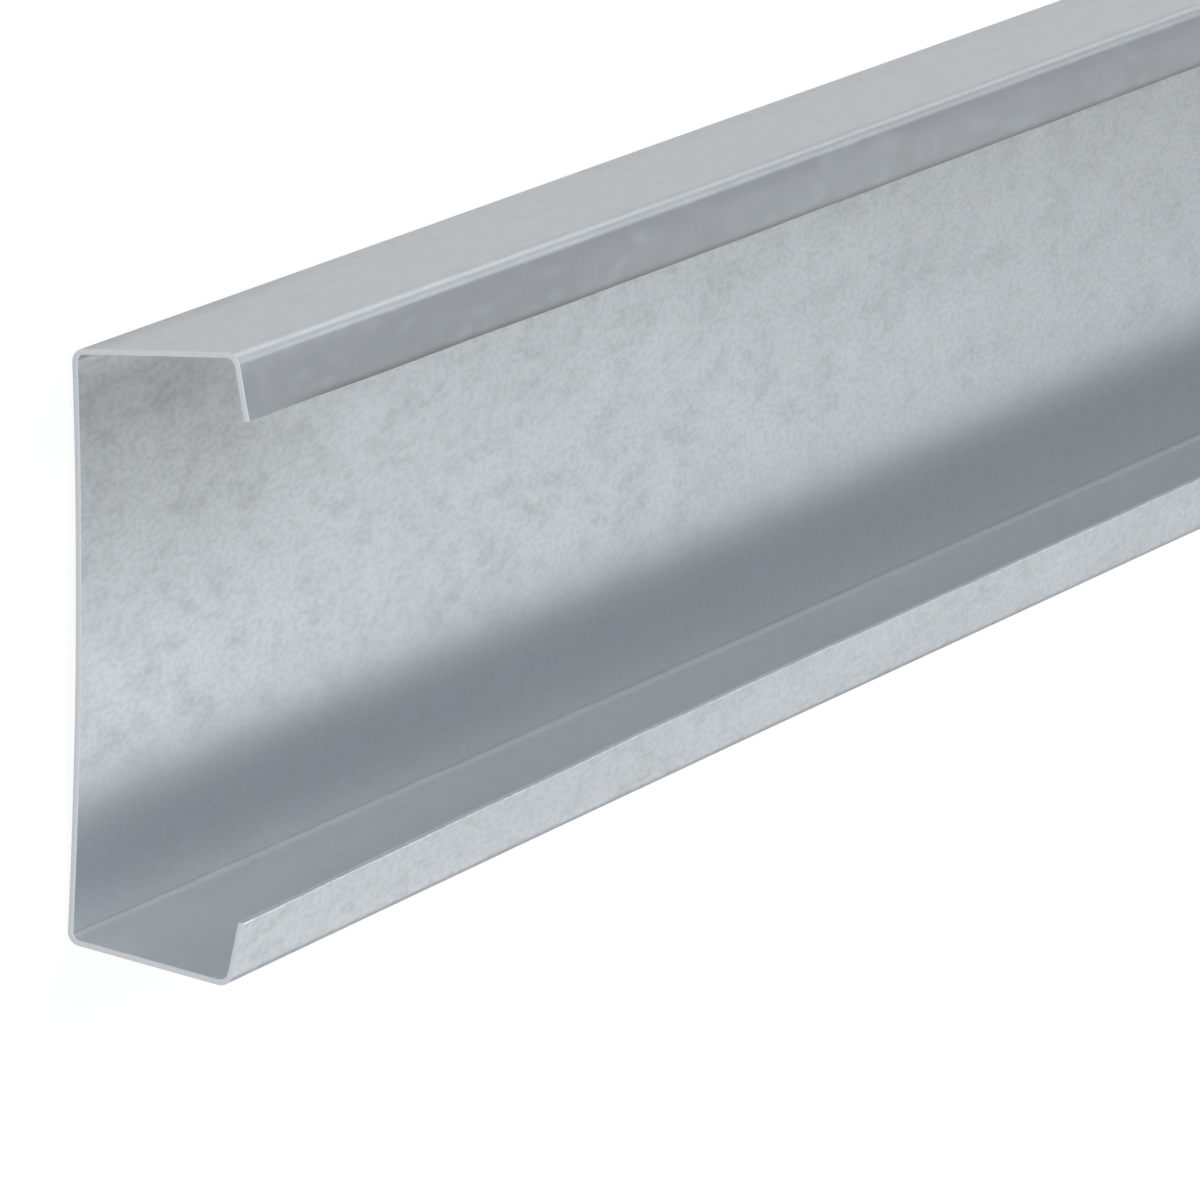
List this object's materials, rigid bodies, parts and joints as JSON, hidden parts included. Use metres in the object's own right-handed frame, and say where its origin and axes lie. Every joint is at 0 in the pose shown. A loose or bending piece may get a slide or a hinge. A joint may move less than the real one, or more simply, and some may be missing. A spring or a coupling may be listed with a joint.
{
  "type": "purlin",
  "caption": "Galvanised steel purlin: a straight length of cold-rolled lipped channel with square-cut ends, its flanges and lips sprung slightly open at each cut.",
  "frame": {"origin": "middle of the length and of the width, on the plane that the back of the web lies on", "axes": "+X along the length, +Y across the web from one flange to the other, +Z out of the web towards the lips and the open side"},
  "size_m": [3, 0.212, 0.0664],
  "materials": {
    "galvanised_steel": "hot-dip galvanised, fine spangle, satin"
  },
  "bodies": {
    "root": {"purlin": "galvanised_steel"}
  },
  "joints": []
}
